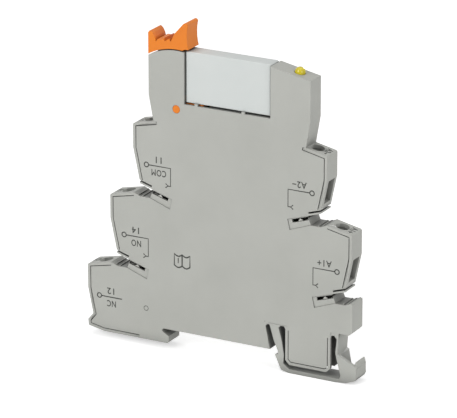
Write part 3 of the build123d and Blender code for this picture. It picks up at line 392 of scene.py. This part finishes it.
def addTerminal(item, along, up):
    # a ring with its lead, the fork of the contact where there is one, the number and the contact's role
    x, z = item["circle"]
    side = item["side"]
    ring = printing["ring"]
    end = side * item["reach"]
    strokes = [(ringPoints(ring), True)]
    if item["drop"]:
        stub, spread, rise = printing["fork"]
        foot = item["drop"]
        tip = -end + side * stub
        strokes.append(([(-side * ring, 0), (-end, 0), (-end, foot), (tip, foot)], False))
        mouth = -end + side * (stub + spread)
        strokes.append(([(mouth, foot - rise), (tip, foot), (mouth, foot + rise)], False))
    else:
        strokes.append(([(-side * ring, 0), (-end, 0)], False))
    pieces = [addStrokes("symbol", strokes, printing["stroke"], along, up, (x, printing["face"], z))]
    middle = x + side * printing["wordReach"]
    place = (middle, printing["face"], z + printing["wordRise"])
    pieces.append(addWord(item["word"], numberLook if item["role"] else signLook, along, up, place))
    if item["role"]:
        place = (middle, printing["face"], z - printing["roleDrop"])
        pieces.append(addWord(item["role"], roleLook, along, up, place))
    return pieces


bookMark = {"middle": (-12.45, 21.45), "page": 2.5, "top": 1.8, "foot": -1.55, "sag": 0.62, "stroke": 0.42,
            "pageSteps": 6, "letterDrop": 0.1}


def pageEdge(look, side, height):
    # one edge of an open page, sagging between the spine and the outer edge
    steps = [i / look["pageSteps"] for i in range(look["pageSteps"] + 1)]
    return [(side * look["page"] * s, height - look["sag"] * math.sin(math.pi * s)) for s in steps]


def addBook(look, letterAlong, letterUp):
    # the open book stands upright, with its letter turned as the other words are
    x, z = look["middle"]
    strokes = [([(0, look["top"]), (0, look["foot"])], False)]
    for side in (1, -1):
        page = pageEdge(look, side, look["top"]) + pageEdge(look, side, look["foot"])[::-1]
        strokes.append((page, False))
    book = addStrokes("book", strokes, look["stroke"], (1, 0, 0), (0, 0, 1), (x, printing["face"], z))
    place = (x - look["page"] / 2, printing["face"], z - look["letterDrop"])
    return [book, addWord("i", letterLook, letterAlong, letterUp, place)]


gateRing = {"middle": (-24.21, 5.17), "radius": 0.68, "width": 0.18}


def buildMarks():
    # the words stand on their heads, as the module is read with its foot upwards
    along, up = (-1, 0, 0), (0, 0, -1)
    pieces = []
    for item in terminals:
        pieces += addTerminal(item, along, up)
    pieces += addBook(bookMark, along, up)
    x, z = gateRing["middle"]
    circle = [(ringPoints(gateRing["radius"]), True)]
    pieces.append(addStrokes("ring", circle, gateRing["width"], along, up, (x, printing["face"], z)))
    return pieces


joinPieces("terminal_marks", buildMarks(), "base", ink)

# where each screw face starts: its side, and the x and z of its outer corner
tiers = {"tilt": 12.0, "run": 1.48,
         "corners": {"12": (1, -43.2, 15.5), "14": (1, -35.6, 37.7), "11": (1, -28.0, 59.9),
                     "A1+": (-1, 40.8, 38.0), "A2\u2212": (-1, 33.0, 59.6)}}


def buildTierMarks():
    # small words on the outer part of each screw face
    pieces = []
    tilt = math.radians(tiers["tilt"])
    for word, (side, x, z) in tiers["corners"].items():
        inwards = Vector((side * math.cos(tilt), 0, math.sin(tilt)))
        facing = Vector((-side * math.sin(tilt), 0, math.cos(tilt)))
        place = Vector((x, 0, z)) + inwards * tiers["run"] + facing * printing["thickness"] / 4
        pieces.append(addWord(word, smallLook, (0, side, 0), tuple(-inwards), place))
    return pieces


joinPieces("screw_face_marks", buildTierMarks(), "base", ink)
print("printed marks")


def addBar(middle, size):
    bpy.ops.mesh.primitive_cube_add(size=1, location=Vector(middle) * mm)
    bar = bpy.context.object
    bar.scale = Vector(size) * mm
    selectOnly(bar)
    bpy.ops.object.transform_apply(location=True, rotation=True, scale=True)
    return bar


ledShape = {"place": (22.9, 0, 81.282), "tilt": 11.443, "radius": 1.5, "top": 1.7, "depth": 3.4,
            "round": 1.45, "roundSteps": 14, "sides": 48, "flangeRadius": 1.75, "flangeHeight": 0.6,
            "leadSize": 0.4, "leadPitch": 1.2, "leadLength": 2.0, "boardFace": 1.2}


def addRound(look, radius, height, middle):
    bpy.ops.mesh.primitive_cylinder_add(vertices=look["sides"], radius=radius * mm, depth=height * mm,
                                        location=(0, 0, middle * mm))
    return bpy.context.object


def buildLamp(look):
    # the lens stands on its flange, with a full round nose, and the leads bend over to the board
    bpy.ops.object.select_all(action="DESELECT")
    height = look["top"] + look["depth"]
    lens = addRound(look, look["radius"], height, look["top"] - height / 2)
    bpy.ops.object.mode_set(mode="EDIT")
    bpy.ops.mesh.select_all(action="DESELECT")
    bpy.ops.object.mode_set(mode="OBJECT")
    for face in lens.data.polygons:
        face.select = face.normal.z > 0.9
    bpy.ops.object.mode_set(mode="EDIT")
    bpy.ops.mesh.bevel(offset=look["round"] * mm, segments=look["roundSteps"])
    bpy.ops.object.mode_set(mode="OBJECT")
    bpy.ops.object.shade_smooth()
    flangeMiddle = look["flangeHeight"] / 2 - look["depth"]
    pieces = [lens, addRound(look, look["flangeRadius"], look["flangeHeight"], flangeMiddle)]
    thick = look["leadSize"]
    reach = look["boardFace"]
    middle = -look["depth"] - look["leadLength"] / 2
    foot = -look["depth"] - look["leadLength"] + thick / 2
    for side in (-0.5, 0.5):
        x = side * look["leadPitch"]
        pieces.append(addBar((x, 0, middle), (thick, thick, look["leadLength"])))
        pieces.append(addBar((x, (reach - thick / 2) / 2, foot), (thick, reach + thick / 2, thick)))
    whole = joinAll(pieces)
    whole.name = "status_lamp"
    whole.data.materials.clear()
    whole.data.materials.append(finishes["led_lens"])
    selectOnly(whole)
    bpy.ops.object.transform_apply(location=True, rotation=True, scale=True)
    turn = Matrix.Rotation(math.radians(look["tilt"]), 4, "Y")
    whole.matrix_world = Matrix.Translation(Vector(look["place"]) * mm) @ turn
    bpy.ops.object.transform_apply(location=True, rotation=True, scale=True)
    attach(whole, "base")
    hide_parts("indicator_led")


buildLamp(ledShape)
print("lamp")

# two fine ribs across the mouth of each bridge shaft, measured from the outer corner of the tier below it,
# or, at the lowest one on the coil side, from where that corner would be
ribs = {"shafts": [(1, -43.2, 15.5), (1, -35.6, 37.7), (-1, 40.8, 38.0), (-1, 48.6, 16.4)],
        "runs": (9.1, 10.4), "floor": 0.8, "floorStart": 9.7, "slope": 0.411, "width": 0.32, "stand": 0.25,
        "root": 0.2, "length": 5.7}


def buildRibs(look):
    bars = []
    for side, x, z in look["shafts"]:
        for run in look["runs"]:
            rise = look["floor"] + max(0, look["floorStart"] - run) * look["slope"]
            middle = (x + side * run, 0, z + rise + (look["stand"] - look["root"]) / 2)
            bars.append(addBar(middle, (look["width"], look["length"], look["stand"] + look["root"])))
    return bars


joinPieces("shaft_ribs", buildRibs(ribs), "base", finishes["housing_plastic"])
print("shaft ribs")


def buildFloor(look):
    bpy.ops.object.select_all(action="DESELECT")
    level = cadBox[0][2] - look["floorGap"]
    bpy.ops.mesh.primitive_plane_add(size=look["floorSize"], location=(0, 0, level))
    floor = bpy.context.object
    floor.name = "studioFloor"
    material, tree, shader, coords = newMaterial("matteWhitePaper")
    fibre = addNode(tree, "ShaderNodeTexNoise", {"Scale": 1 / look["fibreSize"]}, {"Vector": coords})
    tone = addNode(tree, "ShaderNodeMapRange",
                   {"To Min": look["white"] - look["fibreTone"], "To Max": look["white"]},
                   {"Value": fibre.outputs["Fac"]})
    tree.links.new(tone.outputs["Result"], shader.inputs["Base Color"])
    shader.inputs["Roughness"].default_value = look["roughness"]
    shader.inputs["Specular IOR Level"].default_value = look["shine"]
    # the paper glows a little, for the camera alone
    seen = addNode(tree, "ShaderNodeLightPath").outputs["Is Camera Ray"]
    extra = addNode(tree, "ShaderNodeMath", {1: look["paperGlow"]}, {0: seen}, operation="MULTIPLY")
    tree.links.new(extra.outputs[0], shader.inputs["Emission Strength"])
    shader.inputs["Emission Color"].default_value = (1, 1, 1, 1)
    floor.data.materials.append(material)


def buildWorld(look):
    # plain light on the object, and full white for the camera, for gloss and for what is seen through
    world = bpy.data.worlds.new("studioWorld")
    bpy.context.scene.world = world
    world.use_nodes = True
    tree = world.node_tree
    tree.nodes.clear()
    path = addNode(tree, "ShaderNodeLightPath")
    seen = addNode(tree, "ShaderNodeMath", operation="MAXIMUM",
                   links={0: path.outputs["Is Camera Ray"], 1: path.outputs["Is Transmission Ray"]})
    seenToo = addNode(tree, "ShaderNodeMath", operation="MAXIMUM",
                      links={0: seen.outputs[0], 1: path.outputs["Is Glossy Ray"]})
    level = addNode(tree, "ShaderNodeMapRange", {"To Min": look["ambient"], "To Max": 1.0},
                    {"Value": seenToo.outputs[0]})
    sky = addNode(tree, "ShaderNodeBackground", {"Color": (1, 1, 1, 1)},
                  {"Strength": level.outputs["Result"]})
    addNode(tree, "ShaderNodeOutputWorld", links={"Surface": sky.outputs[0]})


def addLamp(name, place, aim, size, power):
    bpy.ops.object.light_add(type="AREA", location=place)
    lamp = bpy.context.object
    lamp.name = name
    lamp.data.size = size
    lamp.data.energy = power
    lamp.rotation_euler = (Vector(aim) - Vector(place)).to_track_quat("-Z", "Y").to_euler()


studio = {"floorSize": 6.0, "floorGap": 0.02 * mm, "fibreSize": 3 * mm, "fibreTone": 0.01, "white": 0.95,
          "roughness": 0.9, "shine": 0.1, "paperGlow": 0.5, "ambient": 0.35, "lampAim": (0, 0, 40 * mm)}
# place in metres, size in metres and power in watts of each lamp
studioLamps = {"keyLamp": ((-0.35, -0.85, 0.55), 0.6, 4.85), "topLamp": ((0.1, 0.05, 0.9), 0.7, 1.7),
               "sideLamp": ((0.85, -0.3, 0.22), 0.5, 2.1), "backLamp": ((-0.2, 0.95, 0.06), 0.12, 1.7)}
buildFloor(studio)
buildWorld(studio)
for lampName, (place, size, power) in studioLamps.items():
    addLamp(lampName, place, studio["lampAim"], size, power)
print("stage and lamps")


def addCamera(look):
    turn = math.radians(look["azimuth"])
    rise = math.radians(look["elevation"])
    back = Vector((math.sin(turn) * math.cos(rise), -math.cos(turn) * math.cos(rise), math.sin(rise)))
    target = Vector(look["target"])
    bpy.ops.object.camera_add(location=target + back * look["distance"])
    camera = bpy.context.object
    camera.rotation_euler = (-back).to_track_quat("-Z", "Y").to_euler()
    camera.data.sensor_width = look["sensor"]
    camera.data.lens = look["lens"]
    camera.data.clip_start = look["clipStart"]
    bpy.context.scene.camera = camera


# fitted to the outline of the module in the 457 by 418 picture
photoView = {"azimuth": 28.276, "elevation": 19.268, "distance": 1.1, "sensor": 36.0, "lens": 310.46,
             "target": (0.7 * mm, 0, 38.1545 * mm), "clipStart": 0.05}
addCamera(photoView)
bpy.context.scene.view_settings.view_transform = "Standard"
print("camera")
